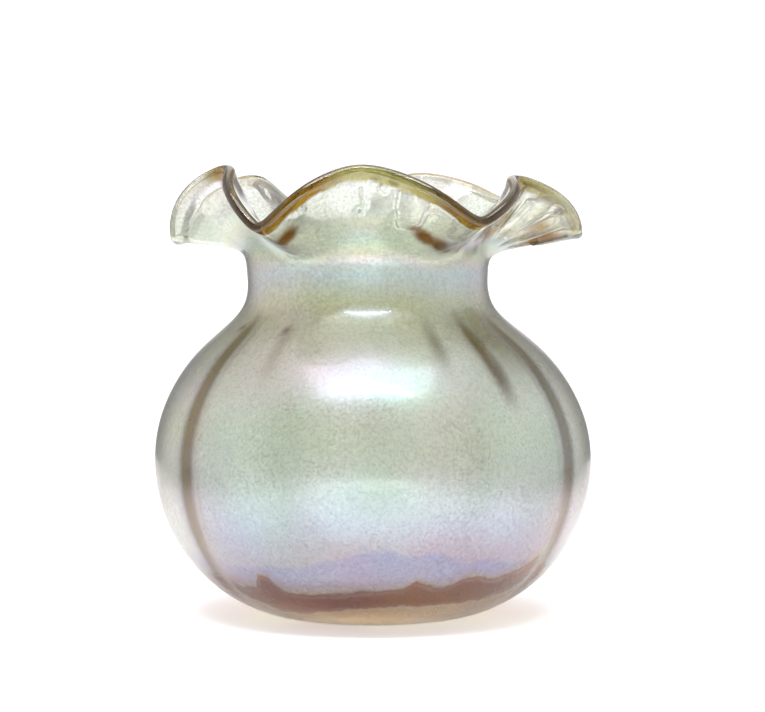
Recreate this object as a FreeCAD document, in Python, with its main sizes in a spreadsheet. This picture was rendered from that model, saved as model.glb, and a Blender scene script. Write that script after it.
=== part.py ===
import FreeCAD, Part
import math
import os
import Sketcher
from FreeCAD import Vector

# Hand-blown glass vase: a ribbed bulb with a short neck and a flared, crimped
# six-lobed mouth, an amber bead of glass laid round the lip, and a pad of rosy
# glass gathered under the bulb as a foot. Sizes in millimetres. The origin is
# at the middle of the foot, on the surface the vase stands on.

doc = FreeCAD.newDocument("art_glass_vase")
sheet = doc.addObject("Spreadsheet::Sheet", "sizes")

# ---- sizes ----------------------------------------------------------------
SIZES = [
    # overall
    ("bulb_radius", 56.0, "radius of the bulb at its widest"),
    ("neck_height", 89.0, "height of the narrowest part of the neck"),
    ("neck_radius", 31.3, "outer radius of the neck"),
    ("neck_lean", 1.5, "how far the neck leans to the left of the foot"),
    # the walls
    ("wall_thickness", 2.0, "thickness of the blown wall"),
    ("floor_thickness", 2.3, "thickness of the blown floor inside"),
    ("rib_depth", 0.45, "depth of the optic creases in the outside"),
    ("rib_width", 13.0, "width of one crease in degrees round the bulb"),
    # the foot pad
    ("pad_height", 2.7, "thickness of the pad under the bulb"),
    ("pad_radius", 32.4, "radius of the pad where the bulb sits on it"),
    ("foot_radius", 20.0, "radius of the ring the vase rests on"),
    ("pontil_radius", 9.0, "radius of the ground pontil dish"),
    ("pontil_depth", 0.8, "depth of the ground pontil dish"),
    # the lip
    ("mouth_start", 95.5, "height where the neck begins to flare at a crest"),
    ("mouth_drop", 1.9, "how much lower the flare begins at a dip"),
    ("flare_pull", 11.0, "length of the straight end of the flare"),
    ("crest_pitch", 60.0, "rise of the lip at a crest, in degrees"),
    ("bead_width", 3.2, "width of the amber bead on the lip"),
]

# Outside of the bulb between pad and neck: control points from the pad upwards,
# each a share of bulb_radius and a share of neck_height.
BULB = [
    ("heel", 0.680, 0.060),
    ("under_belly", 0.843, 0.131),
    ("low_belly", 1.005, 0.326),
    ("high_belly", 1.021, 0.563),
    ("shoulder", 0.818, 0.774),
    ("neck_root", 0.539, 0.881),
]

# The crimped lip, from the front round to the right: crests and dips in turn,
# each with its bearing in degrees, its reach from the neck's axis and its height.
# A dip also has the upward turn of its edge in degrees and its roundness.
LIP = [
    ("crest_front", 358.5, 42.5, 113.4, None, None),
    ("dip_front_right", 32.5, 51.5, 98.0, 25.0, 0.07),
    ("crest_right", 63.0, 42.0, 111.0, None, None),
    ("dip_right", 87.0, 53.8, 97.0, 12.0, 0.35),
    ("crest_back_right", 110.0, 43.0, 111.0, None, None),
    ("dip_back_right", 133.0, 50.0, 105.0, 25.0, 0.2),
    ("crest_back", 160.0, 42.5, 111.8, None, None),
    ("dip_back", 192.0, 51.0, 98.0, 15.0, 0.2),
    ("crest_back_left", 227.0, 43.0, 111.1, None, None),
    ("dip_left", 263.0, 49.4, 95.4, 4.0, 0.35),
    ("crest_left", 301.0, 41.5, 113.4, None, None),
    ("dip_front_left", 329.0, 50.5, 98.0, 25.0, 0.07),
]

# Bearings of the twelve creases left by the optic mould.
CREASES = [24.0, 41.5, 60.5, 88.0, 117.0, 147.0, 178.0, 208.0, 238.0, 270.0, 304.5, 327.0]

row = 1


def put(alias, value, note=""):
    """Write one size in the sheet and give its cell a name."""
    global row
    sheet.set("A%d" % row, alias)
    sheet.set("B%d" % row, str(value))
    sheet.set("C%d" % row, note)
    sheet.setAlias("B%d" % row, alias)
    row += 1


for name, value, note in SIZES:
    put(name, value, note)
for name, reach, rise in BULB:
    put(name + "_reach", reach, "share of bulb_radius")
    put(name + "_rise", rise, "share of neck_height")
for name, bearing, reach, height, turn, roundness in LIP:
    put(name + "_bearing", bearing, "degrees from the front")
    put(name + "_reach", reach, "from the axis of the neck")
    put(name + "_height", height, "above the rest surface")
    if turn is not None:
        put(name + "_turn", turn, "degrees, upwards is positive")
        put(name + "_roundness", roundness, "0 is a sharp fold, larger is a wider curve")
for number, bearing in enumerate(CREASES, 1):
    put("crease_%d" % number, bearing, "degrees from the front")
doc.recompute()


def size(name):
    """A size as it stands in the sheet."""
    return float(sheet.get(name))


# ---- control nets -----------------------------------------------------------
# A net is a list of rings from the bottom up. Each ring holds the same number of
# points, evenly spaced round the vase from the front.
STEPS = 144
BEARINGS = [360.0 * step / STEPS for step in range(STEPS)]


def around(reach, bearing, height, lean=0.0):
    """The point at a reach and bearing from an axis shifted left by lean."""
    angle = math.radians(bearing)
    return Vector(reach * math.sin(angle) - lean, -reach * math.cos(angle), height)


def lip_at(bearing):
    """Reach, height and pitch of the wall's edge at one bearing."""
    stations = sorted(LIP, key=lambda station: size(station[0] + "_bearing"))
    angles = [size(station[0] + "_bearing") for station in stations]
    after = next((i for i, angle in enumerate(angles) if angle > bearing), 0)
    first, second = stations[after - 1], stations[after]
    span = (angles[after] - angles[after - 1]) % 360.0
    way = ((bearing - angles[after - 1]) % 360.0) / span
    crest, dip = (first, second) if first[4] is None else (second, first)
    ease = 0.5 + 0.5 * math.cos(math.pi * (way if crest is first else 1.0 - way))
    low, high = size(dip[0] + "_height"), size(crest[0] + "_height")
    wide, near = size(dip[0] + "_reach"), size(crest[0] + "_reach")
    turn = size(dip[0] + "_turn")
    # the edge climbs early out of a dip, stays wide and only draws in near the crest
    soft = size(dip[0] + "_roundness")
    rise = ((ease + soft) ** 0.4 - soft ** 0.4) / ((1.0 + soft) ** 0.4 - soft ** 0.4)
    return (wide - (wide - near) * ease ** 2.2,
            low + (high - low) * rise,
            turn + (size("crest_pitch") - turn) * ease,
            ease)


def crease_at(bearing):
    """Depth of the optic creases at one bearing, 0 between them and 1 in one."""
    depth = 0.0
    for number in range(1, len(CREASES) + 1):
        apart = (bearing - size("crease_%d" % number) + 180.0) % 360.0 - 180.0
        if abs(apart) < size("rib_width") / 2.0:
            depth += math.cos(math.pi * apart / size("rib_width")) ** 2
    return depth


def outside_net(creased):
    """Rings of control points of the outside of the wall."""
    lean = size("neck_lean")
    rings = [[around(size("pad_radius"), bearing, size("pad_height")) for bearing in BEARINGS]]
    # the creases are deepest on the shoulder and fade towards foot and neck
    fades = [0.5, 0.8, 1.0, 1.0, 1.0, 0.35]
    leans = [0.0, 0.0, 0.0, 0.0, 0.35, 0.8]
    for (name, share_out, share_up), fade, tilt in zip(BULB, fades, leans):
        reach = size(name + "_reach") * size("bulb_radius")
        height = size(name + "_rise") * size("neck_height")
        ring = []
        for bearing in BEARINGS:
            groove = creased * fade * size("rib_depth") * crease_at(bearing)
            ring.append(around(reach - groove, bearing, height, tilt * lean))
        rings.append(ring)
    neck = size("neck_radius")
    rings.append([around(neck, bearing, size("neck_height"), lean) for bearing in BEARINGS])
    flare, back, edge = [], [], []
    for bearing in BEARINGS:
        reach, height, pitch, ease = lip_at(bearing)
        pull = size("flare_pull")
        slope = math.radians(pitch)
        start = size("mouth_start") - size("mouth_drop") * (1.0 - ease)
        flare.append(around(neck, bearing, start, lean))
        back.append(around(reach - pull * math.cos(slope), bearing,
                           height - pull * math.sin(slope), lean))
        edge.append(around(reach, bearing, height, lean))
    return rings + [flare, back, edge]


def outward(net, i, j):
    """Unit normal of a net at one of its points, pointing out of the vase."""
    along = net[i][(j + 1) % STEPS] - net[i][j - 1]
    lower, upper = max(i - 1, 0), min(i + 1, len(net) - 1)
    up = net[upper][j] - net[lower][j]
    normal = along.cross(up)
    return normal.normalize()


def shifted(net, distance):
    """The net moved along its own normals, inwards when distance is negative."""
    return [[net[i][j] + outward(net, i, j) * distance for j in range(STEPS)]
            for i in range(len(net))]


def skin(net, degree=3):
    """A smooth face through a net, closed round the vase."""
    poles = [[ring[j] for ring in net] for j in range(STEPS)]
    spans = len(net) - degree
    surface = Part.BSplineSurface()
    surface.buildFromPolesMultsKnots(
        poles,
        [1] * (STEPS + 1),
        [degree + 1] + [1] * (spans - 1) + [degree + 1],
        [float(k) for k in range(STEPS + 1)],
        [float(k) for k in range(spans + 1)],
        True, False, 3, degree)
    return surface.toShape()


def disc(face, height):
    """A flat face that closes a skin at the level of its lowest edge."""
    for edge in face.Edges:
        box = edge.BoundBox
        if box.ZLength < 1e-6 and abs(box.ZMin - height) < 1e-6:
            return Part.Face(Part.Wire([edge]))


def solid_of(faces):
    """Sew faces into a closed solid."""
    shell = Part.makeShell(faces)
    shell.sewShape()
    solid = Part.makeSolid(Part.Shell(shell.Faces))
    if solid.Volume < 0.0:
        solid.reverse()
    return solid


def feature(label, shape):
    """One sub-part holding a finished shape, at the origin of the vase."""
    holder = doc.addObject("Part::Feature", label)
    holder.Label = label
    holder.Shape = shape
    holder.Placement = FreeCAD.Placement(Vector(0, 0, 0), FreeCAD.Rotation())
    return holder


# ---- blown wall ---------------------------------------------------------------
outside = outside_net(creased=1.0)
smooth = outside_net(creased=0.0)
inside = shifted(smooth, -size("wall_thickness"))
floor_level = size("pad_height") + size("floor_thickness")
inside[0] = [around(size("pad_radius") - 8.0, bearing, floor_level) for bearing in BEARINGS]
inside[1] = [around(size("pad_radius") + 0.5, bearing, floor_level) for bearing in BEARINGS]

outer_face = skin(outside)
inner_face = skin(inside)
edge_face = skin([outside[-1], inside[-1]], degree=1)
wall = solid_of([
    outer_face,
    inner_face,
    edge_face,
    disc(outer_face, size("pad_height")),
    disc(inner_face, floor_level),
])
blown_wall = feature("blown_wall", wall)

# ---- amber bead on the lip ------------------------------------------------------
# A half-round bead whose flat side seats on the edge of the wall. It is a little
# wider than the wall, so it stands proud on both faces.
half = size("bead_width") / 2.0
outer_edge, inner_edge = [], []
outer_swell, inner_swell = [], []
for j in range(STEPS):
    across = (outside[-1][j] - inside[-1][j]).normalize()
    middle = (outside[-1][j] + inside[-1][j]) * 0.5
    ahead = outside[-1][j] - outside[-2][j]
    ahead = (ahead - across * ahead.dot(across)).normalize()
    outer_edge.append(middle + across * half)
    inner_edge.append(middle - across * half)
    outer_swell.append(middle + across * half + ahead * half * 4.0 / 3.0)
    inner_swell.append(middle - across * half + ahead * half * 4.0 / 3.0)
bead = solid_of([
    skin([outer_edge, outer_swell, inner_swell, inner_edge]),
    skin([outer_edge, inner_edge], degree=1),
])
lip_bead = feature("lip_bead", bead)

# ---- foot pad -------------------------------------------------------------------
pad = doc.addObject("PartDesign::Body", "foot_pad")
pad.Label = "foot_pad"
doc.recompute()
upright = next(item for item in pad.Origin.OriginFeatures if item.Role == "XZ_Plane")

profile = pad.newObject("Sketcher::SketchObject", "pad_profile")
profile.AttachmentSupport = (upright, [""])
profile.MapMode = "FlatFace"
height, top, foot = size("pad_height"), size("pad_radius"), size("foot_radius")
# the rim of the pad is an arc that leaves the rest surface without a corner
rim = ((top - foot) ** 2 + height ** 2) / (2.0 * height)
end = math.atan2(height - rim, top - foot)
profile.addGeometry(Part.LineSegment(Vector(0, 0, 0), Vector(foot, 0, 0)))
profile.addGeometry(Part.ArcOfCircle(
    Part.Circle(Vector(foot, rim, 0), Vector(0, 0, 1), rim), -math.pi / 2.0, end))
profile.addGeometry(Part.LineSegment(Vector(top, height, 0), Vector(0, height, 0)))
profile.addGeometry(Part.LineSegment(Vector(0, height, 0), Vector(0, 0, 0)))
profile.addConstraint(Sketcher.Constraint("Coincident", 0, 1, -1, 1))
profile.addConstraint(Sketcher.Constraint("Tangent", 0, 2, 1, 1))
profile.addConstraint(Sketcher.Constraint("Coincident", 1, 2, 2, 1))
profile.addConstraint(Sketcher.Constraint("Coincident", 2, 2, 3, 1))
profile.addConstraint(Sketcher.Constraint("Coincident", 3, 2, 0, 1))
profile.addConstraint(Sketcher.Constraint("Horizontal", 0))
profile.addConstraint(Sketcher.Constraint("Horizontal", 2))
profile.addConstraint(Sketcher.Constraint("Vertical", 3))
for name, ends, kind, value in (
        ("foot_radius", (0, 1, 0, 2), "DistanceX", foot),
        ("pad_radius", (3, 1, 2, 1), "DistanceX", top),
        ("pad_height", (3, 2, 3, 1), "DistanceY", height)):
    number = profile.addConstraint(Sketcher.Constraint(kind, *ends, value))
    profile.renameConstraint(number, name)
    profile.setExpression("Constraints." + name, "sizes." + name)

turned = pad.newObject("PartDesign::Revolution", "pad_turned")
turned.Profile = profile
turned.ReferenceAxis = (profile, ["V_Axis"])
turned.Angle = 360.0
doc.recompute()
plain_volume = pad.Shape.Volume

dish = pad.newObject("Sketcher::SketchObject", "pontil_profile")
dish.AttachmentSupport = (upright, [""])
dish.MapMode = "FlatFace"
mouth, depth = size("pontil_radius"), size("pontil_depth")
bowl = (mouth ** 2 + depth ** 2) / (2.0 * depth)
start = math.atan2(bowl - depth, mouth)
dish.addGeometry(Part.LineSegment(Vector(0, 0, 0), Vector(mouth, 0, 0)))
dish.addGeometry(Part.ArcOfCircle(
    Part.Circle(Vector(0, depth - bowl, 0), Vector(0, 0, 1), bowl), start, math.pi / 2.0))
dish.addGeometry(Part.LineSegment(Vector(0, depth, 0), Vector(0, 0, 0)))
dish.addConstraint(Sketcher.Constraint("Coincident", 0, 1, -1, 1))
dish.addConstraint(Sketcher.Constraint("Coincident", 0, 2, 1, 1))
dish.addConstraint(Sketcher.Constraint("Coincident", 1, 2, 2, 1))
dish.addConstraint(Sketcher.Constraint("Coincident", 2, 2, 0, 1))
dish.addConstraint(Sketcher.Constraint("Horizontal", 0))
dish.addConstraint(Sketcher.Constraint("Vertical", 2))
dish.addConstraint(Sketcher.Constraint("PointOnObject", 1, 3, -2))
for name, ends, kind, value in (
        ("pontil_radius", (0, 1, 0, 2), "DistanceX", mouth),
        ("pontil_depth", (2, 2, 2, 1), "DistanceY", depth)):
    number = dish.addConstraint(Sketcher.Constraint(kind, *ends, value))
    dish.renameConstraint(number, name)
    dish.setExpression("Constraints." + name, "sizes." + name)

ground = pad.newObject("PartDesign::Groove", "pontil_ground")
ground.Profile = dish
ground.ReferenceAxis = (dish, ["V_Axis"])
ground.Angle = 360.0
pad.Tip = ground
doc.recompute()
if not pad.Shape.Volume < plain_volume:
    raise RuntimeError("the pontil dish took nothing off the pad")

# ---- checks and export ------------------------------------------------------------
doc.recompute()
for item in doc.Objects:
    if "Invalid" in item.State or "Error" in item.State:
        raise RuntimeError("%s did not build: %s" % (item.Label, item.State))
parts = [blown_wall, lip_bead, pad]
for item in parts:
    if item.Shape.isNull() or not item.Shape.isValid():
        raise RuntimeError("%s has no valid shape" % item.Label)
os.makedirs("parts", exist_ok=True)
for item in parts:
    item.Shape.exportStep("parts/%s.step" % item.Label)
    box = item.Shape.BoundBox
    print("%-12s volume %9.1f  x %7.2f %7.2f  y %7.2f %7.2f  z %6.2f %6.2f" % (
        item.Label, item.Shape.Volume, box.XMin, box.XMax, box.YMin, box.YMax, box.ZMin, box.ZMax))
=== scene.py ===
import math

import bpy
import numpy as np
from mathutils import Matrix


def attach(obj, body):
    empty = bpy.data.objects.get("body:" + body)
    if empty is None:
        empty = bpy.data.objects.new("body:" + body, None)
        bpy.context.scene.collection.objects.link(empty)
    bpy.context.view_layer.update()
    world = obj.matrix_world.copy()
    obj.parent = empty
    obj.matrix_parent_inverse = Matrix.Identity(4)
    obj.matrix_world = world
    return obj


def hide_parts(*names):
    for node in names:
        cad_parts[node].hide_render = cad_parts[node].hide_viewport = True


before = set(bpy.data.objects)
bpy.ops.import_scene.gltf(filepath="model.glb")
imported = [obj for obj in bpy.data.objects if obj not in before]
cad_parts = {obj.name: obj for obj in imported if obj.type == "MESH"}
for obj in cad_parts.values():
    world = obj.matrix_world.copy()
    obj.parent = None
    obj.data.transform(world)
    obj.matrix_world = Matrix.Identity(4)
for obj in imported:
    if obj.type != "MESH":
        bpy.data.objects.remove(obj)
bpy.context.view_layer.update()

mm = 0.001  # the shape is worked out in millimetres and put into the mesh in metres


# The blown vessel: its rings are the reach and height of each ring of control points, from the foot
# pad to the neck.
vessel = {
    "rings": [(32.4, 2.7), (38.1, 5.34), (47.2, 11.66), (56.28, 29.0), (57.18, 50.1), (45.8, 68.9),
              (30.2, 78.4), (31.3, 89.0)],
    # the neck leans this far to the left, and each ring takes its share of that
    "lean": 1.5,
    "leanShares": [0.0, 0.0, 0.0, 0.0, 0.0, 0.35, 0.8, 1.0, 1.0, 1.0, 1.0],
    "neckRadius": 31.3,
    "flareStart": 95.5,
    "flareDrop": 1.9,
    "flarePull": 11.0,
    "wall": 2.0,
    "footThicker": (1.4, 7.0),  # more glass low down: how much, and over what height
    "lipThinner": (0.25, 10, 6),  # less in the flare: how much, how far from the lip, over what length
    "uneven": 0.25,
    "surfaceWave": 0.08,
    "flareRidges": 0.16,  # faint ridges that run up the flare
    "inset": 0.13,  # the skin lies this far inside, so that its waviness stays within the true size
    "floorLevel": 5.2,
    "floorRows": 14,
    "farFromLip": 200.0,  # stands for points that are nowhere near the lip
    "flareAt": 0.72,  # the share of the meridian where the rows become closer
    "columns": 456,
    "bulbRows": 46,
    "flareRows": 64,
    "innerRows": 58,
}

# The crimped lip: bearing from the front towards the right, reach, height, pitch of the edge
# and, for a dip, its roundness.
lip = {
    "crests": [(358.5, 42.5, 113.4, 60, 0), (63, 42.0, 111.0, 60, 0), (110, 43.0, 111.0, 60, 0),
               (160, 42.5, 111.8, 60, 0), (227, 43.0, 111.1, 60, 0), (301, 41.5, 113.4, 60, 0)],
    "dips": [(32.5, 51.5, 100.6, 25, 0.07), (87, 53.8, 97.0, 12, 0.35), (133, 50.0, 105.0, 25, 0.2),
             (192, 51.0, 98.0, 15, 0.2), (263, 49.4, 95.4, 4, 0.35), (329, 50.5, 99.2, 25, 0.07)],
    "beadRadius": 1.35,
    "beadReach": 1.55,  # how far the tip stands past the edge of the wall
    "beadRows": 16,
    "climb": 0.4,  # below 1 the edge climbs early out of a dip
    "drawIn": 2.2,  # above 1 it draws in late towards a crest
}

# The lip was rolled over hot: a slightly thicker band with fingers running down from it.
# Each finger: bearing, half its width in degrees, length in millimetres.
roll = {
    "height": 0.48,
    "depth": 2.0,
    "fingers": [(359.4, 1.3, 9.6), (5.5, 1.2, 4.2), (14.4, 5.0, 15.0), (31, 4.6, 10.5), (318, 2.5, 7),
                (340, 2.6, 3.6), (348, 2.4, 3.2), (66, 1.8, 13), (72, 2.2, 16), (78.5, 2.0, 15),
                (84, 1.8, 12), (91, 2.4, 9)],
    # the small ones at the back are drawn at random
    "moreFingers": 7,
    "moreBetween": (168, 250),
    "moreHalf": (1.6, 3.0),
    "moreLength": (3, 6),
    "seed": 6,
    # hardly any roll on the plain lobes: their bearing, half their width, and how far it fades
    "plain": (125, 22, 20),
    # the band's lower edge wanders: how much, how many times round, and phase
    "wander": [(0.45, 5, 1.3), (0.25, 13, 0), (0.15, 29, 2)],
    "step": 0.7,
    # drops that ran down and set: bearing, distance from the lip, radius, height
    "drops": [(357.6, 10.9, 1.15, 0.5), (5.5, 3.9, 0.9, 0.35), (213, 8.5, 1.0, 0.4)],
}

# Flutes drawn into the flare: bearing, half width in degrees, depth.
flutes = [(64.5, 2.4, 0.5), (69.5, 2.0, 0.55), (75.5, 2.4, 0.7), (81.5, 2.0, 0.6), (87.5, 2.2, 0.6),
          (94, 2.6, 0.3), (118, 5, 0.12), (170, 5, 0.15), (183, 4, 0.15), (203, 4, 0.15), (243, 5, 0.12),
          (262, 4, 0.15), (281, 5, 0.15)]
fluteShares = {
    "outside": 1.1,
    "inside": 0.9,
}

# The foot is a flat ring round a shallow pontil dish.
foot = {
    "radius": 20.0,
    "padRadius": 32.4,
    "padHeight": 2.7,
    "dishRadius": 9.0,
    "dishDepth": 0.8,
    "dishRings": (2.0, 4.5, 6.5, 8.2),
    "rimRows": 8,
}

# Optic creases: bearing, depth, and how low on the bulb they are still seen.
creases = {
    "list": [(24.0, 0.6, 65), (41.5, 1.0, 59), (60.5, 1.0, 4), (88, 0.8, 4), (117, 0.8, 4),
             (147, 0.8, 4), (178, 0.8, 4), (208, 0.8, 4), (238, 0.8, 4), (270, 0.8, 4),
             (304.5, 1.0, 4), (327, 0.45, 62)],
    "outerDepth": 0.4,
    "innerDepth": 0.55,
    "halfWidth": 6.0,
    "fadeOver": 14,
    "neckFade": (82, 9),  # gone at this height, over this much
    "footFade": (2, 8),
}


def splineWeights(count, where):
    # weights of a clamped uniform cubic B-spline with count control points, one row for each place 0..1
    knots = np.concatenate([np.zeros(3), np.linspace(0, 1, count - 2), np.ones(3)])
    where = np.clip(where, 0, 1 - 1e-9)[:, None]
    weights = ((where >= knots[:-1]) & (where < knots[1:])).astype(float)
    for degree in (1, 2, 3):
        left, right = knots[:-degree - 1], knots[degree + 1:]
        spanA = np.where(knots[degree:-1] > left, knots[degree:-1] - left, 1.0)
        spanB = np.where(right > knots[1:-degree], right - knots[1:-degree], 1.0)
        weights = (where - left) / spanA * weights[:, :-1] + (right - where) / spanB * weights[:, 1:]
    return weights


def lipAt(bearing):
    # between a crest and the next dip the edge follows a cosine; it climbs early and draws in late
    stations = sorted([s + (1.0,) for s in lip["crests"]] + [s + (0.0,) for s in lip["dips"]])
    table = np.array(stations)
    after = np.searchsorted(table[:, 0], bearing % 360, side="right") % len(table)
    before = after - 1
    span = (table[after, 0] - table[before, 0]) % 360
    way = ((bearing - table[before, 0]) % 360) / span
    isCrest = table[before, 5] > 0.5
    ease = 0.5 + 0.5 * np.cos(np.pi * np.where(isCrest, way, 1 - way))
    crest = np.where(isCrest[:, None], table[before], table[after])
    dip = np.where(isCrest[:, None], table[after], table[before])
    soft = dip[:, 4]
    climb = lip["climb"]
    rise = ((ease + soft) ** climb - soft ** climb) / ((1 + soft) ** climb - soft ** climb)
    reach = dip[:, 1] - (dip[:, 1] - crest[:, 1]) * ease ** lip["drawIn"]
    height = dip[:, 2] + (crest[:, 2] - dip[:, 2]) * rise
    pitch = np.radians(dip[:, 3] + (crest[:, 3] - dip[:, 3]) * ease)
    return reach, height, pitch, ease


def creaseAt(bearing, height):
    # sum of narrow cosine-squared grooves, each fading out below its own lowest height
    depth = np.zeros(np.broadcast(bearing, height).shape)
    for place, strength, lowest in creases["list"]:
        apart = (bearing - place + 180) % 360 - 180
        groove = np.cos(np.clip(apart / creases["halfWidth"], -1, 1) * np.pi / 2) ** 2
        depth += groove * strength * np.clip((height - lowest) / creases["fadeOver"] + 0.5, 0, 1)
    # they fade towards the neck and the foot
    high, highOver = creases["neckFade"]
    low, lowOver = creases["footFade"]
    return depth * np.clip((high - height) / highOver, 0, 1) * np.clip((height - low) / lowOver, 0, 1)


def rollAt(bearing, toLip):
    # 1 on the rolled band and its fingers, 0 below: the band's lower edge wanders and each finger is a
    # rounded bump of that edge
    random = np.random.default_rng(roll["seed"])
    fingers = list(roll["fingers"])
    for _ in range(roll["moreFingers"]):
        fingers.append((random.uniform(*roll["moreBetween"]), random.uniform(*roll["moreHalf"]),
                        random.uniform(*roll["moreLength"])))
    angle = np.radians(bearing)
    edge = roll["depth"]
    for size, turns, phase in roll["wander"]:
        edge = edge + size * np.cos(turns * angle + phase)
    for place, half, length in fingers:
        apart = (bearing - place + 180) % 360 - 180
        edge = np.maximum(edge, length * np.clip(1.02 - np.abs(apart / half) ** 5, 0, 1))
    share = np.clip((edge - toLip) / roll["step"] + 0.5, 0, 1)
    plainAt, plainHalf, plainFade = roll["plain"]
    plain = np.clip((np.abs(bearing - plainAt) - plainHalf) / plainFade, 0, 1)
    return share * share * (3 - 2 * share) * plain


def wave(bearing, height, seed, scale=1.0):
    # a smooth wandering value near -1..1: a few cosines of bearing and height with seeded phases
    random = np.random.default_rng(seed)
    total = 0.0
    for turns in (1, 2, 3, 5, 7):
        phases = random.uniform(0, 2 * np.pi, 2)
        length = random.uniform(22, 60) / scale
        total = total + np.cos(np.radians(bearing) * turns * max(1, round(scale)) + phases[0]) \
            * np.cos(2 * np.pi * height / length + phases[1]) / (1 + 0.25 * turns)
    return total / 2.2


def outerSurface(bearing, places):
    # control rings swept round the axis, then a B-spline along each meridian
    rings = vessel["rings"]
    count = len(rings) + 3
    reach = np.zeros((count, len(bearing)))
    height = np.zeros_like(reach)
    for i, (r, z) in enumerate(rings):
        reach[i], height[i] = r, z
    edgeReach, edgeHeight, pitch, ease = lipAt(bearing)
    k = len(rings)
    reach[k] = vessel["neckRadius"]
    height[k] = vessel["flareStart"] - vessel["flareDrop"] * (1 - ease)
    reach[k + 1] = edgeReach - vessel["flarePull"] * np.cos(pitch)
    height[k + 1] = edgeHeight - vessel["flarePull"] * np.sin(pitch)
    reach[k + 2], height[k + 2] = edgeReach, edgeHeight
    angle = np.radians(bearing)
    net = np.stack([reach * np.sin(angle), -reach * np.cos(angle), height], -1)
    net[..., 0] -= vessel["lean"] * np.array(vessel["leanShares"])[:, None]
    return np.einsum("vi,iuk->vuk", splineWeights(count, places), net)


def gridNormals(grid):
    # cross product of the differences round and along the grid, closed round the vase
    around = np.roll(grid, -1, 1) - np.roll(grid, 1, 1)
    along = np.gradient(grid, axis=0)
    normal = np.cross(around, along)
    return normal / np.linalg.norm(normal, axis=-1, keepdims=True)


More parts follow.
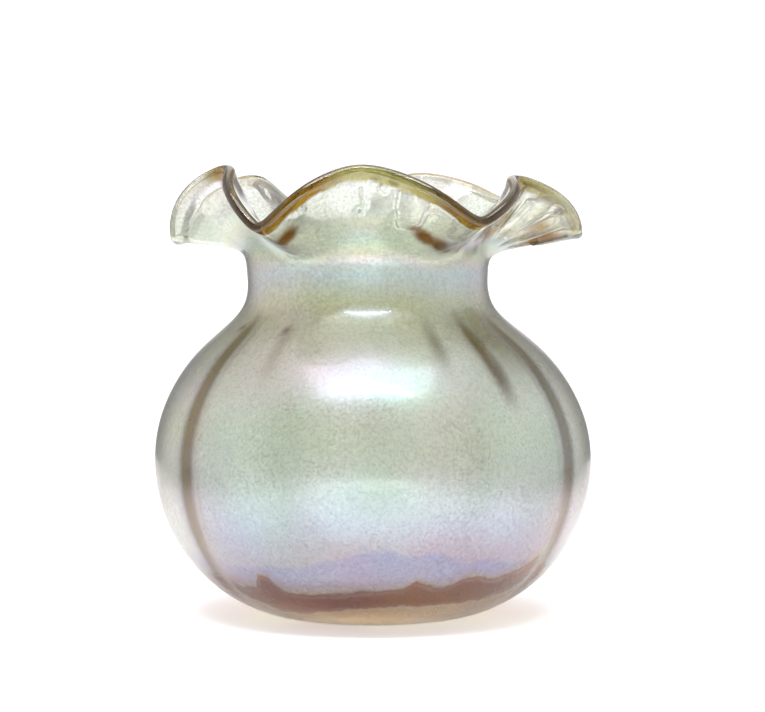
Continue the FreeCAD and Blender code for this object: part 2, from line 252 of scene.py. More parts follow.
def buildVessel():
    # one closed skin: foot, outside, round the lip, inside and floor, each a stack of rings
    n = vessel["columns"]
    bearing = np.arange(n) * 360.0 / n
    angle = np.radians(bearing)
    # places along the meridian, closer together towards the lip
    places = np.concatenate([np.linspace(0, vessel["flareAt"], vessel["bulbRows"], endpoint=False),
                             np.linspace(vessel["flareAt"], 1, vessel["flareRows"])])
    outer = outerSurface(bearing, places)
    normal = gridNormals(outer)
    height = outer[..., 2]
    steps = np.linalg.norm(np.diff(outer, axis=0), axis=-1)
    toLip = np.vstack([np.cumsum(steps[::-1], 0)[::-1], np.zeros(n)])  # along the wall to its edge
    # the wall is thicker at the foot, thinner in the flare, and never quite even
    more, over = vessel["footThicker"]
    less, lessAt, lessOver = vessel["lipThinner"]
    thick = vessel["wall"] + more * np.exp(-((height - foot["padHeight"]) / over) ** 2)
    thick = thick + vessel["uneven"] * wave(bearing[None], height, 5)
    thick = thick - less * np.exp(-((toLip - lessAt) / lessOver) ** 2)
    groove = creaseAt(bearing[None], height)
    # the ridges are on the flare only, and faint right at the lip
    onFlare = np.clip((26 - toLip) / 14, 0, 1) * np.clip(toLip / 2.0, 0.15, 1)
    ridges = wave(bearing[None], height * 0.15, 11, 4.0)
    ridges = ridges + 0.6 * wave(bearing[None], height * 0.1, 12, 7.0)
    band = rollAt(bearing[None], toLip)
    flute = np.zeros((1, n))
    for middleAt, halfWide, deep in flutes:
        apart = (bearing[None] - middleAt + 180) % 360 - 180
        flute = flute + deep * np.cos(np.clip(apart / halfWide, -1, 1) * np.pi / 2) ** 2
    fluted = flute * np.clip((21 - toLip) / 8, 0, 1) * np.clip((toLip - 1.5) / 3, 0, 1)
    push = roll["height"] * band - creases["outerDepth"] * groove - fluteShares["outside"] * fluted
    push = push + vessel["surfaceWave"] * wave(bearing[None], height, 3) - vessel["inset"]
    push = push + vessel["flareRidges"] * ridges * onFlare
    # each drop is a low rounded mound
    for where, along, size, high in roll["drops"]:
        apart = (bearing[None] - where + 180) % 360 - 180
        sideways = np.radians(apart) * np.hypot(outer[..., 0], outer[..., 1])
        push = push + high * np.clip(1 - (sideways ** 2 + (toLip - along) ** 2) / size ** 2, 0, 1) ** 0.7
    # nothing is pushed out at the foot or at the very lip
    push *= np.clip((height - foot["padHeight"]) / 6, 0, 1)
    push *= np.clip(toLip / 1.2, 0, 1)
    # the lip swells into a round bead: half thickness is a smooth larger of the wall's and a circle's
    bead = lip["beadRadius"]

    def halfThick(distance, wallHalf):
        # distance is measured from the very tip of the bead
        circle = np.sqrt(np.clip(bead ** 2 - (distance - bead) ** 2, 0, None))
        circle = np.where(distance > 2 * bead, 0, circle)
        keep = np.where(distance > bead, wallHalf, 0)
        return (circle ** 4 + keep ** 4) ** 0.25

    half = halfThick(toLip + lip["beadReach"], thick / 2)
    middle = outer - normal * thick[..., None] / 2
    outside = middle + normal * (half + push)[..., None]
    ahead = outer[-1] - outer[-2]
    ahead /= np.linalg.norm(ahead, axis=-1, keepdims=True)
    turn = np.linspace(0, np.pi, lip["beadRows"] + 2)[1:-1]
    beadRings = middle[-1][None] + normal[-1][None] * (np.cos(turn)[:, None] * half[-1])[..., None] \
        + ahead[None] * (np.sin(turn) * lip["beadReach"])[:, None, None]
    # inside, from the lip down to the floor
    pick = np.linspace(len(places) - 1, 7, vessel["innerRows"]).round().astype(int)
    innerPush = creases["innerDepth"] * groove + 0.15 * wave(bearing[None], height, 8) \
        - 0.2 * ridges * onFlare - fluteShares["inside"] * fluted
    inside = (middle - normal * (half + innerPush * 0.6)[..., None])[pick]
    # floor: rings that close in on the axis, dished a little and slightly wavy
    last = inside[-1]
    shares = np.cos(np.linspace(0, np.pi / 2, vessel["floorRows"] + 2)[1:-1])
    floorRings = np.zeros((len(shares), n, 3))
    for i, share in enumerate(shares):
        drop = (1 - share) ** 0.5
        level = last[:, 2] + (vessel["floorLevel"] - last[:, 2]) * (1 - share ** 3.0)
        level = level + 0.35 * np.cos(3 * angle + 1.0) * share * (1 - share) * 4 * drop
        floorRings[i] = np.stack([last[:, 0] * share, last[:, 1] * share, level], -1)
    # foot: pontil dish, resting ring and the rounded rim up to the wall
    top, low, rise = foot["padRadius"], foot["radius"], foot["padHeight"]
    rim = ((top - low) ** 2 + rise ** 2) / (2 * rise)
    sweep = np.linspace(0, math.atan2(top - low, rim - rise), foot["rimRows"] + 1)
    profile = [(r, foot["dishDepth"] * (1 - (r / foot["dishRadius"]) ** 2)) for r in foot["dishRings"]]
    profile += [(foot["dishRadius"], 0.03), (foot["dishRadius"] + 0.8, 0.0), (14.0, 0.0)]
    profile += [(low + rim * math.sin(a), rim * (1 - math.cos(a))) for a in sweep[:-1]]
    profile = np.array(profile)
    footRings = np.stack([profile[:, :1] * np.sin(angle), -profile[:, :1] * np.cos(angle),
                          np.repeat(profile[:, 1:], n, 1)], -1)
    rings = np.concatenate([footRings, outside, beadRings, inside, floorRings])
    # what each ring is, for the tints: distance to the lip, crease depth, share of the rolled band, and
    # how far round the bead
    far = np.full((1, n), vessel["farFromLip"])
    lipDistance = np.concatenate([np.repeat(far, len(footRings), 0), toLip, np.zeros((len(beadRings), n)),
                                  toLip[pick], np.repeat(far, len(floorRings), 0)])
    creaseDepth = np.concatenate([np.zeros((len(footRings), n)), groove, np.zeros((len(beadRings), n)),
                                  groove[pick] * 0.6, np.zeros((len(floorRings), n))])
    bandAll = np.concatenate([np.zeros((len(footRings), n)), band, np.ones((len(beadRings), n)),
                              0.5 * band[pick], np.zeros((len(floorRings), n))])
    tip = np.linspace(0, 1, len(beadRings))[:, None] + np.zeros(n)
    beadTurn = np.concatenate([np.zeros((len(footRings) + len(outside), n)), tip,
                               np.ones((len(inside), n)), np.zeros((len(floorRings), n))])
    outsideRows = (len(footRings), len(footRings) + len(outside))
    return bearing, rings, lipDistance, creaseDepth, bandAll, beadTurn, outsideRows


def closedSkin(rings):
    # quads between neighbouring rings, closed round, and a fan at each pole
    m, n = rings.shape[:2]
    index = np.arange(m * n).reshape(m, n)
    right = np.roll(index, -1, 1)
    quads = np.stack([index[:-1], right[:-1], right[1:], index[1:]], -1).reshape(-1, 4)
    south, north = m * n, m * n + 1
    fans = np.concatenate([
        np.stack([np.full(n, south), right[0], index[0]], -1),
        np.stack([np.full(n, north), index[-1], right[-1]], -1)])
    poles = np.array([[0, 0, rings[0, :, 2].mean() + 0.04], [0, 0, rings[-1, :, 2].mean()]])
    return np.concatenate([rings.reshape(-1, 3), poles]), quads, fans


def meshObject(name, points, quads, triangles, smooth=True):
    # points in millimetres, faces as whole index arrays
    mesh = bpy.data.meshes.new(name)
    mesh.vertices.add(len(points))
    mesh.vertices.foreach_set("co", (points * mm).astype(np.float32).ravel())
    loops = np.concatenate([quads.ravel(), triangles.ravel()]).astype(np.int32)
    starts = np.concatenate([np.arange(len(quads)) * 4, len(quads) * 4 + np.arange(len(triangles)) * 3])
    mesh.loops.add(len(loops))
    mesh.loops.foreach_set("vertex_index", loops)
    mesh.polygons.add(len(starts))
    mesh.polygons.foreach_set("loop_start", starts.astype(np.int32))
    mesh.update(calc_edges=True)
    mesh.validate()
    mesh.polygons.foreach_set("use_smooth", np.full(len(mesh.polygons), smooth))
    piece = bpy.data.objects.new(name, mesh)
    bpy.context.scene.collection.objects.link(piece)
    return piece


def addAttribute(piece, name, values):
    # one number for each point
    layer = piece.data.attributes.new(name, "FLOAT", "POINT")
    layer.data.foreach_set("value", values.astype(np.float32).ravel())


bearing, rings, lipDistance, creaseDepth, bandAll, beadTurn, outsideRows = buildVessel()
points, quads, fans = closedSkin(rings)
print("vessel skin worked out:", len(points), "points,", 2 * len(quads) + len(fans), "triangles")

# Seeds, little bubbles trapped in the wall: bearing, height, size and stretch of the ones that show,
# then a seeded scatter of small ones.
seeds = {
    "shown": [(357.6, 104.0, 0.5, 1.0), (306.5, 25.8, 0.42, 1.3), (46.5, 24.1, 0.4, 1.2),
              (334.5, 39.0, 0.3, 1.0), (353.5, 40.9, 0.28, 1.0), (17.5, 39.7, 0.3, 1.0),
              (7.0, 33.3, 0.28, 1.0)],
    "scatter": 17,
    "seed": 21,
    "heights": (10, 74),
    "sizes": (0.12, 0.34),
    "stretches": (1.0, 1.8),
    "below": 0.95,  # how deep they sit under the outside of the wall
    "rows": 6,
    "around": 12,
}


def surfacePoint(place, level, depth):
    # the point that far under the outside of the wall, found in the table of rings
    first, last = outsideRows
    column = int(round(place / 360 * len(bearing))) % len(bearing)
    wallRings = rings[first:last, column]
    row = int(np.argmin(np.abs(wallRings[:, 2] - level)))
    ahead = rings[first + row, (column + 1) % len(bearing)] - wallRings[row]
    up = wallRings[min(row + 1, len(wallRings) - 1)] - wallRings[row]
    out = np.cross(ahead, up)
    out /= np.linalg.norm(out)
    up = up / np.linalg.norm(up)
    return wallRings[row] - out * depth, out, up


def seedSkin(centre, out, up, width, stretch):
    # a small ball from two angles, down and round, stretched along the wall
    down = np.linspace(0, np.pi, seeds["rows"] + 2)[1:-1, None, None]
    turn = np.linspace(0, 2 * np.pi, seeds["around"], endpoint=False)[None, :, None]
    side = np.cross(out, up)
    ball = (np.sin(down) * np.cos(turn) * side
            + np.sin(down) * np.sin(turn) * out
            + np.cos(down) * stretch * up * np.ones((1, seeds["around"], 1)))
    return centre + ball * width


def seedFaces(start):
    # quads and two fans that point into the bubble, away from the glass
    rows, around = seeds["rows"], seeds["around"]
    index = start + np.arange(rows * around).reshape(rows, around)
    right = np.roll(index, -1, 1)
    quadsHere = np.stack([index[:-1], index[1:], right[1:], right[:-1]], -1).reshape(-1, 4)
    top = start + rows * around
    fansHere = np.concatenate([
        np.stack([np.full(around, top), index[0], right[0]], -1),
        np.stack([np.full(around, top + 1), right[-1], index[-1]], -1)])
    return quadsHere, fansHere


random = np.random.default_rng(seeds["seed"])
bubbles = list(seeds["shown"])
for _ in range(seeds["scatter"]):
    bubbles.append((random.uniform(0, 360), random.uniform(*seeds["heights"]),
                    random.uniform(*seeds["sizes"]), random.uniform(*seeds["stretches"])))
allPoints, allQuads, allFans = [points], [quads], [fans]
start = len(points)
for place, level, width, stretch in bubbles:
    centre, out, up = surfacePoint(place, level, seeds["below"])
    ball = seedSkin(centre, out, up, width, stretch)
    pole = up * width * stretch
    allPoints += [ball.reshape(-1, 3), np.array([centre + pole, centre - pole])]
    quadsHere, fansHere = seedFaces(start)
    allQuads.append(quadsHere)
    allFans.append(fansHere)
    start += len(ball.reshape(-1, 3)) + 2
extra = start - len(points)
vaseGlass = meshObject("vase_glass", np.concatenate(allPoints), np.concatenate(allQuads),
                       np.concatenate(allFans))
print("seeds added:", len(bubbles))

# Where the tints lie in the glass.
tint = {
    # how much of the band's colour is amber: bearing and share
    "amber": [(0, 0.12), (10, 0.2), (20, 0.5), (27, 0.9), (45, 1.0), (60, 0.75), (68, 0.4), (75, 0.15),
              (87, 0.35), (100, 0.2), (150, 0.15), (200, 0.25), (227, 0.3), (263, 0.2), (290, 0.35),
              (299, 0.9), (315, 0.9), (329, 1.0), (345, 0.75), (353, 0.3), (360, 0.12)],
    "amberDepth": 2.3,
    # how plainly the rolled band is coloured at all: bearing and share
    "band": [(0, 0.9), (40, 1.0), (62, 0.8), (75, 0.4), (87, 0.4), (110, 0.2), (150, 0.12), (200, 0.25),
             (227, 0.3), (263, 0.12), (290, 0.25), (299, 0.9), (312, 1.0), (360, 0.9)],
    # bearing, distance from the lip, width in degrees, depth, strength
    "amberSmears": [(17, 13.9, 3, 1.6, 0.7), (22.5, 15.8, 4.5, 2.4, 1.0), (29, 15.5, 4.5, 2.6, 1.0),
                    (36, 17.2, 5, 2.6, 1.0), (43, 19, 5, 2.8, 0.9), (50.5, 19.6, 5, 2.8, 0.9),
                    (57, 18, 4.5, 2.8, 0.95), (63, 15.6, 4, 2.8, 0.95), (67, 11, 2.4, 4.5, 0.95),
                    (59, 9, 3, 4, 0.9), (62.5, 3, 4, 4, 0.95), (333, 8.5, 4, 2.2, 1.0),
                    (325, 11.5, 5, 2.2, 0.9), (316, 13, 5, 2.4, 0.8), (307, 12, 4, 3, 0.8),
                    (299, 6, 3.6, 7, 1.0), (308, 4, 6, 3, 0.8), (83, 9.5, 6, 4.5, 1.0),
                    (88, 5, 4, 3.5, 0.8), (215, 6, 7, 3, 0.5), (150, 5, 8, 3, 0.4), (240, 6, 5, 3, 0.5),
                    (176, 7, 5, 3, 0.5)],
    # bearing, then the heights where the painted reflection in violet begins, where the rose begins and
    # where it ends below
    "paintedReflectionAndRoseLines": [(0, 22.6, 11.9, 7.7), (5, 22.4, 12.2, 7.9), (9, 21.4, 12.4, 7.9),
              (13, 21.2, 14.6, 7.9), (17, 22.3, 12.9, 7.8), (22, 20.8, 12.3, 7.8),
              (28, 18.8, 14.5, 7.8), (33, 20.0, 14.9, 7.9), (39, 18.6, 13.7, 8.3),
              (46, 17.6, 14.8, 9.0), (53, 17.4, 17.0, 10.6), (59, 18.5, 20.0, 12.6),
              (64, 18.0, 15.0, 11.0), (80, 20.0, 12.5, 8.0), (105, 18.0, 14.0, 7.0),
              (125, 21.5, 11.5, 8.0), (150, 19.0, 13.5, 7.0), (175, 22.0, 12.0, 6.5),
              (200, 18.5, 14.5, 8.0), (225, 21.0, 11.5, 6.5), (250, 19.0, 14.0, 7.5),
              (275, 21.0, 12.0, 8.0), (298, 17.5, 12.8, 9.0), (306, 17.5, 14.0, 9.5),
              (314, 16.5, 10.5, 7.6), (321, 17.0, 11.5, 5.2), (324, 17.3, 15.0, 4.9),
              (327, 17.5, 15.0, 4.8), (329, 17.6, 12.6, 4.7), (332, 17.7, 10.9, 4.7),
              (339, 17.9, 10.3, 5.6), (346, 19.8, 11.0, 6.3), (352, 20.7, 11.4, 6.9),
              (358, 22.4, 11.8, 7.6)],
    # darker streaks between the flutes of the right lobe: bearings, width in degrees, strength
    "streaks": [62.5, 67, 72.5, 78.5, 84.5, 91],
    "streakWidth": 1.3,
    "streakDepth": 0.55,
    "paintedGlintLine": 0.7,  # strength of the painted highlight, a pale line round the drips
    # faint olive washes: bearing, height, width in degrees, height of the wash, strength
    "washes": [(52, 72, 11, 7, 0.6), (60, 24, 16, 11, 0.28), (118, 66, 22, 9, 0.2), (205, 72, 30, 7, 0.2),
               (300, 20, 14, 9, 0.14)],
    # small brown folds: bearing, height, width in degrees, height of the mark, strength
    "folds": [(298.5, 74.6, 2.2, 0.7, 0.9), (324.5, 74.4, 2.0, 0.8, 1.0), (141, 73.5, 2.4, 0.7, 0.8)],
}
# each tint is a value for each point, worked out from its height, bearing and distance to the lip
level = points[:, 2]
lipFlat = np.concatenate([lipDistance.ravel(), [vessel["farFromLip"]] * 2])  # the two poles last
creaseFlat = np.concatenate([creaseDepth.ravel(), [0.0, 0.0]])
bandFlat = np.concatenate([bandAll.ravel(), [0.0, 0.0]])
place = np.degrees(np.arctan2(points[:, 0] + vessel["lean"] * (level > 80), -points[:, 1])) % 360
edge = tint["amberDepth"] * (0.8 + 0.3 * wave(place, 0 * level, 31, 2.0))
lipBand = np.clip((edge - lipFlat) / 0.9 + 0.5, 0, 1) * np.interp(place, *np.transpose(tint["band"]))
amber = np.interp(place, *np.transpose(tint["amber"])) * (lipBand + 0.16 * np.exp(-lipFlat / 8.0))
for where, depth, wide, tall, strength in tint["amberSmears"]:
    apart = (place - where + 180) % 360 - 180
    swirl = 0.8 * wave(place, lipFlat, 41, 3.0)
    away = (apart / wide) ** 2 + ((lipFlat - depth + swirl) / tall) ** 2
    amber = np.maximum(amber, strength * np.exp(-away ** 1.4))
fold = 0 * level
for where, up, wide, tall, strength in tint["folds"]:
    apart = (place - where + 180) % 360 - 180
    lean = level - up - 0.25 * apart
    fold = np.maximum(fold, strength * np.exp(-(apart / wide) ** 4 - (lean / tall) ** 2))
paintedReflectionAndRoseLines = np.array(tint["paintedReflectionAndRoseLines"] + [(360, *tint["paintedReflectionAndRoseLines"][0][1:])])
paintedReflectionTop, roseTop, roseLow = (np.interp(place, paintedReflectionAndRoseLines[:, 0], paintedReflectionAndRoseLines[:, i]) for i in (1, 2, 3))
turnFlat = np.concatenate([beadTurn.ravel(), [0.0, 0.0]])
lipEdge = np.clip(1 - lipFlat / 0.5, 0, 1) * np.clip((turnFlat - 0.5) / 0.15, 0, 1)
# painted highlight: a thin white line round the edge of the rolled band and its drips
paintedGlintLine = tint["paintedGlintLine"] * np.clip(4 * bandFlat * (1 - bandFlat), 0, 1) * (lipFlat < 20)
# the streaks, and the washes over them
streaks = 0 * level
for where in tint["streaks"]:
    apart = (place - where + 180) % 360 - 180
    streaks = np.maximum(streaks, np.exp(-(apart / tint["streakWidth"]) ** 2))
streaks = tint["streakDepth"] * streaks * np.clip((lipFlat - 1.5) / 2, 0, 1)
streaks = streaks * np.clip((17 - lipFlat) / 6, 0, 1)
for where, up, wide, tall, strength in tint["washes"]:
    apart = (place - where + 180) % 360 - 180
    streaks = np.maximum(streaks, strength * np.exp(-(apart / wide) ** 2 - ((level - up) / tall) ** 2))
# a value for each point of the vessel; the seeds carry none of the tints
tints = {"amber": np.clip(amber, 0, 1), "lipBand": lipBand, "lipEdge": lipEdge, "paintedGlint": paintedGlintLine,
         "streak": streaks, "crease": np.clip(creaseFlat, 0, 1), "fold": fold,
         "paintedReflectionTop": paintedReflectionTop * mm, "roseTop": roseTop * mm, "roseLow": roseLow * mm,
         "flare": np.clip(1 - lipFlat / 26.0, 0, 1)}
for name, values in tints.items():
    addAttribute(vaseGlass, name, np.concatenate([values, np.zeros(extra)]))
print("tints laid on")

# The colours and finish of the glass.
glassLook = {
    # height in millimetres and the colour there: the lustre's own colour, with painted reflection and
    # shade by height in it
    "lustreAndPaintedLight": [(0, (1.0, 0.68, 0.27)), (9, (0.93, 0.70, 0.36)), (15, (0.80, 0.86, 0.88)),
               (25, (0.84, 0.88, 0.93)), (31, (0.85, 0.87, 0.87)), (40, (0.81, 0.86, 0.78)),
               (49, (0.82, 0.89, 0.75)), (58, (0.86, 0.89, 0.80)), (66, (0.83, 0.87, 0.77)),
               (76, (0.82, 0.86, 0.66)), (80, (0.86, 0.90, 0.70)), (84, (0.84, 0.90, 0.84)),
               (88, (0.82, 0.92, 0.95)), (91, (0.88, 0.91, 0.84)), (94, (0.74, 0.77, 0.66)),
               (98, (0.76, 0.79, 0.68)), (116, (0.80, 0.83, 0.72))],
    "amber": (0.17, 0.055, 0.0, 1),
    # white of the painted highlight round the drips
    "paintedGlint": (1.0, 1.0, 1.0, 1),
    "lipGreen": (0.33, 0.30, 0.05, 1),
    "lipEdge": (0.20, 0.11, 0.0, 1),
    "olive": (0.10, 0.092, 0.0, 1),
    "fold": (0.08, 0.04, 0.002, 1),
    # violet of the painted reflection low on the bulb
    "paintedReflection": (0.60, 0.68, 0.94, 1),
    "rose": (0.32, 0.034, 0.007, 1),
    "rust": (0.39, 0.078, 0.0, 1),
    # painted shade for the edges of the glass where the wall turns away
    "rim": (0.10, 0.115, 0.09, 1),
    "blushGreen": (0.95, 1.0, 0.97, 1),
    "blushPink": (1.0, 0.95, 0.98, 1),
    "transmission": 0.87,
    "refraction": 1.5,
    "specular": 0.3,
    "coat": 0.35,
    "coatRoughness": 0.06,
    "filmIor": 1.62,
    "filmThin": 340.0,
    "filmThick": 430.0,
    "absorption": (0.78, 0.80, 0.72, 1),
    "absorptionDensity": 110.0,
    # scale of each pattern: the lustre's drift, pink and green clouds, ragged tide lines, rust in the
    # rose, patches of satin, and the film
    "driftScale": 18.0,
    "cloudScale": 26.0,
    "rippleScale": 240.0,
    "rustScale": 30.0,
    "satinScale": 60.0,
    "filmScale": 14.0,
    "drift": 0.010,
    "ripple": 0.0012,
    "satin": (0.22, 0.32),
    "glossyLip": 0.25,
    "grainScale": 1300.0,
    "grainShade": (0.68, 1.05),
    "bumpScale": 110.0,
    "bumpStrength": 0.10,
    "bumpHeight": 0.0008,
}


def newMaterial(name):
    # a material with its node tree and its main shader
    material = bpy.data.materials.new(name)
    material.use_nodes = True
    tree = material.node_tree
    shader = tree.nodes["Principled BSDF"]
    return material, tree, shader


def node(tree, kind, inputs=None, **settings):
    # a new node; an input that is a socket is linked and any other is set
    made = tree.nodes.new(kind)
    for key, value in settings.items():
        setattr(made, key, value)
    for key, value in (inputs or {}).items():
        if isinstance(value, bpy.types.NodeSocket):
            tree.links.new(value, made.inputs[key])
        else:
            made.inputs[key].default_value = value
    return made


def mixColour(tree, factor, first, second, mode="MIX"):
    # first where the factor is 0, second where it is 1
    made = tree.nodes.new("ShaderNodeMix")
    made.data_type = "RGBA"
    made.blend_type = mode
    for socket, value in ((made.inputs[0], factor), (made.inputs[6], first), (made.inputs[7], second)):
        if isinstance(value, bpy.types.NodeSocket):
            tree.links.new(value, socket)
        else:
            socket.default_value = value
    return made.outputs[2]


def noise(tree, coords, scale, detail=3.0, rough=0.5, distortion=0.0):
    # a soft random value, mostly 0.3 to 0.7, with scale bumps to the metre
    return node(tree, "ShaderNodeTexNoise", {"Vector": coords, "Scale": scale, "Detail": detail,
                                             "Roughness": rough, "Distortion": distortion}).outputs["Fac"]


def remap(tree, value, low, high, toLow, toHigh):
    # a straight line from low to high, kept between toLow and toHigh
    return node(tree, "ShaderNodeMapRange", {"Value": value, "From Min": low, "From Max": high,
                                             "To Min": toLow, "To Max": toHigh}).outputs["Result"]


def attribute(tree, name):
    # the value that the mesh carries under that name
    return node(tree, "ShaderNodeAttribute", attribute_name=name).outputs["Fac"]


def combine(tree, first, second, operation="ADD"):
    # two numbers added, or put together as the operation says
    return node(tree, "ShaderNodeMath", {0: first, 1: second}, operation=operation).outputs[0]


def smoothRange(tree, value, low, high):
    # 0 at low, 1 at high, with a soft start and end
    return node(tree, "ShaderNodeMapRange", {"Value": value, "From Min": low, "From Max": high},
                interpolation_type="SMOOTHSTEP").outputs["Result"]


def pearlGlass():
    # one glass: colour by height, then each tint over it by its own share, then the shaders' sockets
    material, tree, shader = newMaterial("pearl glass")
    coords = node(tree, "ShaderNodeTexCoord").outputs["Object"]
    # the colour changes with height: violet below, green round the belly, blue at the neck. This is
    # partly the lustre's own colour and partly painted light: the violet below and the blue at the neck
    # are painted reflections, and how light or dark each height is was matched to how the glass is lit.
    height = node(tree, "ShaderNodeSeparateXYZ", {"Vector": coords}).outputs["Z"]
    drift = noise(tree, coords, glassLook["driftScale"], 2.0, 0.5, 0.4)
    drift = remap(tree, drift, 0.0, 1.0, -glassLook["drift"], glassLook["drift"])
    shifted = combine(tree, height, drift)
    top = glassLook["lustreAndPaintedLight"][-1][0]
    heightShare = remap(tree, shifted, 0.0, top * mm, 0.0, 1.0)
    ramp = node(tree, "ShaderNodeValToRGB", {"Fac": heightShare})
    stops = ramp.color_ramp.elements
    for number, (place, colour) in enumerate(glassLook["lustreAndPaintedLight"]):
        stop = stops[0] if number == 0 else stops.new(place / top)
        stop.position = place / top
        stop.color = (*colour, 1)
    stops.remove(stops[-1])
    # clouds of faint pink and green in it
    cloud = smoothRange(tree, noise(tree, coords, glassLook["cloudScale"], 2.0, 0.5, 0.6), 0.3, 0.7)
    blush = mixColour(tree, cloud, glassLook["blushGreen"], glassLook["blushPink"])
    colour = mixColour(tree, 1.0, ramp.outputs["Color"], blush, "MULTIPLY")
    # low on the bulb: a painted reflection in violet under a wavy edge, then a rose band, peach at the
    # very bottom
    ripple = noise(tree, coords, glassLook["rippleScale"], 3.0, 0.6)
    ripple = remap(tree, ripple, 0.0, 1.0, -glassLook["ripple"], glassLook["ripple"])
    low = combine(tree, height, ripple)

    def under(line, soft):
        # 0 above the line that the mesh carries, 1 below it
        return smoothRange(tree, combine(tree, low, attribute(tree, line), "SUBTRACT"), soft, -soft)

    paintedReflectionShare = combine(tree, under("paintedReflectionTop", 0.0009),
                          smoothRange(tree, height, 0.006, 0.020), "MULTIPLY")
    colour = mixColour(tree, paintedReflectionShare, colour, glassLook["paintedReflection"])
    creaseShare = attribute(tree, "crease")
    colour = mixColour(tree, smoothRange(tree, creaseShare, 0.06, 0.85), colour, glassLook["olive"])
    roseShare = combine(tree, under("roseTop", 0.0016),
                        combine(tree, 1.0, under("roseLow", 0.0008), "SUBTRACT"), "MULTIPLY")
    rustShare = smoothRange(tree, noise(tree, coords, glassLook["rustScale"], 2.0), 0.42, 0.6)
    roseColour = mixColour(tree, rustShare, glassLook["rose"], glassLook["rust"])
    colour = mixColour(tree, smoothRange(tree, roseShare, 0.0, 0.55), colour, roseColour)
    # the rolled lip: olive, amber over it, darker at its very edge, and a painted white highlight round
    # the drips
    lipBand = attribute(tree, "lipBand")
    amber = attribute(tree, "amber")
    lipEdge = combine(tree, attribute(tree, "lipEdge"), 0.9, "MULTIPLY")
    colour = mixColour(tree, smoothRange(tree, lipBand, 0.0, 0.7), colour, glassLook["lipGreen"])
    colour = mixColour(tree, smoothRange(tree, amber, 0.0, 0.85), colour, glassLook["amber"])
    colour = mixColour(tree, attribute(tree, "streak"), colour, glassLook["lipGreen"])
    colour = mixColour(tree, lipEdge, colour, glassLook["lipEdge"])
    colour = mixColour(tree, attribute(tree, "paintedGlint"), colour, glassLook["paintedGlint"])
    colour = mixColour(tree, attribute(tree, "fold"), colour, glassLook["fold"])
    # painted shade: the colour is darkened where the wall turns away from the view, standing in for the
    # dark room seen in the glass at its edges; the coloured glass is dark enough already
    turned = node(tree, "ShaderNodeLayerWeight", {"Blend": 0.5}).outputs["Facing"]
    coloured = combine(tree, combine(tree, amber, roseShare, "MAXIMUM"), lipBand, "MAXIMUM")
    paintedEdgeShade = combine(tree, smoothRange(tree, turned, 0.63, 0.91),
                       remap(tree, coloured, 0.0, 0.8, 1.0, 0.12), "MULTIPLY")
    colour = mixColour(tree, paintedEdgeShade, colour, mixColour(tree, 1.0, colour, glassLook["rim"], "MULTIPLY"))
    # fine grain of the lustre
    grain = noise(tree, coords, glassLook["grainScale"], 2.0, 0.7)
    speckle = remap(tree, grain, 0.3, 0.6, *glassLook["grainShade"])
    colour = mixColour(tree, 1.0, colour, speckle, "MULTIPLY")
    tree.links.new(colour, shader.inputs["Base Color"])
    shader.inputs["Transmission Weight"].default_value = glassLook["transmission"]
    shader.inputs["IOR"].default_value = glassLook["refraction"]
    flare = attribute(tree, "flare")
    # the lustre is satin on the body and the glass glossy at the lip
    satin = noise(tree, coords, glassLook["satinScale"], 3.0)
    bodyRough = remap(tree, satin, 0.3, 0.7, *glassLook["satin"])
    lipShare = remap(tree, flare, 0.0, 0.8, 1.0, glassLook["glossyLip"])
    rough = combine(tree, bodyRough, lipShare, "MULTIPLY")
    tree.links.new(rough, shader.inputs["Roughness"])
    # a thin iridescent film, gone on the flare and on the rose band
    film = noise(tree, coords, glassLook["filmScale"], 2.0, 0.5, 0.8)
    film = remap(tree, film, 0.25, 0.75, glassLook["filmThin"], glassLook["filmThick"])
    film = combine(tree, film, remap(tree, flare, 0.0, 0.7, 1.0, 0.0), "MULTIPLY")
    film = combine(tree, film, combine(tree, 1.0, roseShare, "SUBTRACT"), "MULTIPLY")
    tree.links.new(film, shader.inputs["Thin Film Thickness"])
    shader.inputs["Thin Film IOR"].default_value = glassLook["filmIor"]
    shader.inputs["Specular IOR Level"].default_value = glassLook["specular"]
    shader.inputs["Coat Weight"].default_value = glassLook["coat"]
    shader.inputs["Coat Roughness"].default_value = glassLook["coatRoughness"]
    bump = node(tree, "ShaderNodeBump", {"Height": noise(tree, coords, glassLook["bumpScale"], 2.0, 0.5),
                                         "Strength": glassLook["bumpStrength"],
                                         "Distance": glassLook["bumpHeight"]})
    tree.links.new(bump.outputs["Normal"], shader.inputs["Normal"])
    volume = node(tree, "ShaderNodeVolumeAbsorption", {"Color": glassLook["absorption"],
                                                       "Density": glassLook["absorptionDensity"]})
    tree.links.new(volume.outputs[0], tree.nodes["Material Output"].inputs["Volume"])
    return material


vaseGlass.data.materials.append(pearlGlass())
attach(vaseGlass, "root")
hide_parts("blown_wall", "lip_bead", "foot_pad")
print("glass finished")

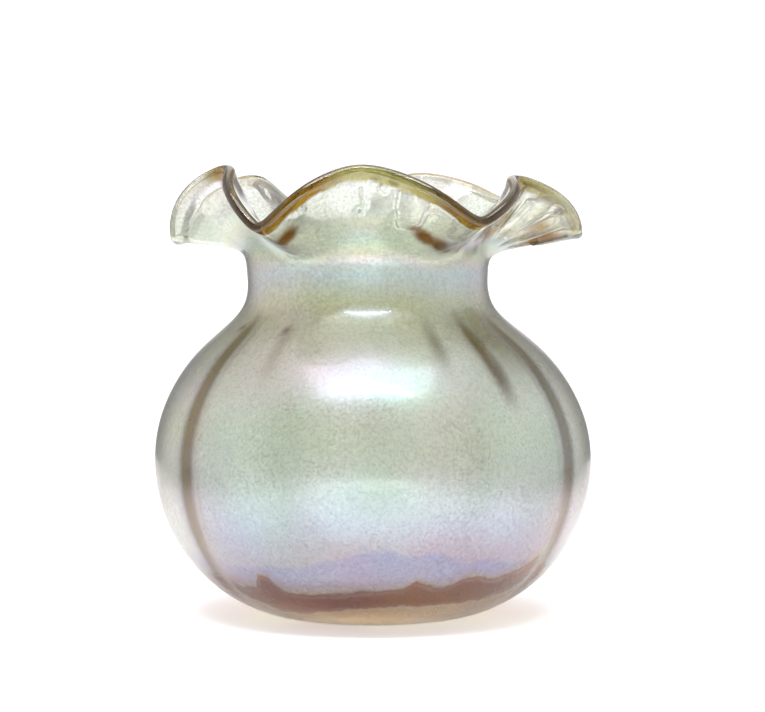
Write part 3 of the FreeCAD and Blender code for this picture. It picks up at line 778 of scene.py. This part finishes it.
# The table, the room and the lamps over it.
studio = {
    "tableColour": (0.9, 0.9, 0.9, 1),
    "tableEdge": (0.45, 0.45, 0.45, 1),
    "tableRadius": 0.44,
    "tableSides": 96,
    "paperRoughness": 0.9,
    "paperShine": 0.1,
    "tableGlow": 0.48,  # lit from below too, so the vase leaves hardly any shadow
    "frontGlow": 3.4,  # and brightest in front of the vase
    "sky": 1.25,
    "frontShade": 0.36,
    "sideShade": 0.36,
    "farShade": 0.95,
    "white": (1, 1, 1, 1),
    "behindShade": 0.3,
    # where each shade of the table begins and ends, in metres: the bright patch and the part behind
    "patchSide": (0.30, 0.12),
    "patchFront": (-0.44, -0.40),
    "patchBack": (-0.19, -0.27),
    "behindFrom": (0.04, 0.14),
    "behindBeside": (0.02, 0.07),
    "fanFade": (0.33, 0.15),  # metres to the side for each metre in front of the camera
    # the same for the room, as parts of a direction of length 1
    "frontFrom": (-0.15, -0.60),
    "lowFrom": (0.85, 0.60),
    "sideFrom": (0.15, 0.28),
    "farFrom": (0.50, 0.85),
    # where each overhead softbox hangs, its size, and its power
    "softbox": ((0.0, -0.27, 0.85), (0.78, 0.47), 6.0),
    "strip": ((0.0, -0.46, 0.84), (0.60, 0.05), 3.2),
}

# Where the camera stands, how many degrees it looks down, and its lens.
view = {
    "place": (0.0024, -0.70, 0.110),
    "down": 3.559,
    "lens": 128.09412,
    "sensor": 36,
    "nearest": 0.01,
}


def buildStudio():
    # a round white table in a grey room that is white overhead and straight behind
    sides = studio["tableSides"]
    angle = np.linspace(0, 2 * np.pi, sides, endpoint=False)
    rim = np.stack([np.cos(angle), np.sin(angle), 0 * angle], -1) * studio["tableRadius"] / mm
    slices = np.stack([np.full(sides, sides), np.arange(sides), np.roll(np.arange(sides), -1)], -1)
    noQuads = np.zeros((0, 4), int)
    floor = meshObject("floor", np.vstack([rim, [[0, 0, 0]]]), noQuads, slices, smooth=False)
    material, tree, shader = newMaterial("floor paper")
    shader.inputs["Roughness"].default_value = studio["paperRoughness"]
    shader.inputs["Specular IOR Level"].default_value = studio["paperShine"]
    shader.inputs["Emission Color"].default_value = studio["white"]
    coords = node(tree, "ShaderNodeTexCoord").outputs["Object"]
    spot = node(tree, "ShaderNodeSeparateXYZ", {"Vector": coords})
    along = spot.outputs["Y"]
    sideways = node(tree, "ShaderNodeMath", {0: spot.outputs["X"]}, operation="ABSOLUTE").outputs[0]
    # a brighter patch in front
    patch = combine(tree, smoothRange(tree, sideways, *studio["patchSide"]),
                    smoothRange(tree, along, *studio["patchFront"]), "MULTIPLY")
    patch = combine(tree, patch, smoothRange(tree, along, *studio["patchBack"]), "MULTIPLY")
    glow = remap(tree, patch, 0.0, 1.0, studio["tableGlow"], studio["frontGlow"])
    # the table falls into the grey of the room at both sides, along lines that fan out from the front
    fan = combine(tree, sideways, combine(tree, along, -view["place"][1]), "DIVIDE")
    fade = smoothRange(tree, fan, *studio["fanFade"])
    # behind the vase it is dimmer beside the middle
    behind = combine(tree, smoothRange(tree, along, *studio["behindFrom"]),
                     smoothRange(tree, sideways, *studio["behindBeside"]), "MULTIPLY")
    glow = combine(tree, glow, remap(tree, behind, 0.0, 1.0, 1.0, studio["behindShade"]), "MULTIPLY")
    tree.links.new(combine(tree, glow, fade, "MULTIPLY"), shader.inputs["Emission Strength"])
    paper = mixColour(tree, fade, studio["tableEdge"], studio["tableColour"])
    tree.links.new(paper, shader.inputs["Base Color"])
    floor.data.materials.append(material)
    world = bpy.data.worlds.new("studio")
    world.use_nodes = True
    bpy.context.scene.world = world
    tree = world.node_tree
    # grey low down in front and just beside the middle, paler far out
    way = node(tree, "ShaderNodeTexCoord").outputs["Generated"]
    parts = node(tree, "ShaderNodeSeparateXYZ", {"Vector": way})
    front = smoothRange(tree, parts.outputs["Y"], *studio["frontFrom"])
    low = smoothRange(tree, parts.outputs["Z"], *studio["lowFrom"])
    across = node(tree, "ShaderNodeMath", {0: parts.outputs["X"]}, operation="ABSOLUTE").outputs[0]
    side = smoothRange(tree, across, *studio["sideFrom"])
    far = smoothRange(tree, across, *studio["farFrom"])
    sideGrey = remap(tree, far, 0.0, 1.0, studio["sideShade"], studio["farShade"])
    frontGrey = (studio["frontShade"],) * 3 + (1,)
    colour = mixColour(tree, combine(tree, front, low, "MULTIPLY"), studio["white"], frontGrey)
    shade = mixColour(tree, combine(tree, side, low, "MULTIPLY"), studio["white"], sideGrey)
    colour = mixColour(tree, 1.0, colour, shade, "MULTIPLY")
    background = tree.nodes["Background"]
    tree.links.new(colour, background.inputs["Color"])
    background.inputs["Strength"].default_value = studio["sky"]
    for name in ("softbox", "strip"):
        addSoftbox("overhead " + name, *studio[name])


def addSoftbox(name, where, size, power):
    # an area light turned to the point under it, a hair further back so that its turn is never undefined
    light = bpy.data.lights.new(name, "AREA")
    light.shape = "RECTANGLE"
    light.size, light.size_y = size
    light.energy = power
    lamp = bpy.data.objects.new(name, light)
    lamp.location = where
    direction = np.array([where[0], where[1] + 0.0001, 0]) - np.array(where)
    lamp.rotation_euler = (math.atan2(math.hypot(direction[0], direction[1]), -direction[2]), 0,
                           math.atan2(direction[1], direction[0]) - math.pi / 2)
    bpy.context.scene.collection.objects.link(lamp)


def buildCamera():
    # a portrait lens seven tenths of a metre away, a little above the middle of the vase
    camera = bpy.data.objects.new("camera", bpy.data.cameras.new("camera"))
    camera.location = view["place"]
    camera.rotation_euler = (math.radians(90 - view["down"]), 0, 0)
    camera.data.lens = view["lens"]
    camera.data.sensor_width = view["sensor"]
    camera.data.clip_start = view["nearest"]
    bpy.context.scene.collection.objects.link(camera)
    bpy.context.scene.camera = camera


buildStudio()
buildCamera()
bpy.context.scene.view_settings.view_transform = "Standard"
print("studio ready")
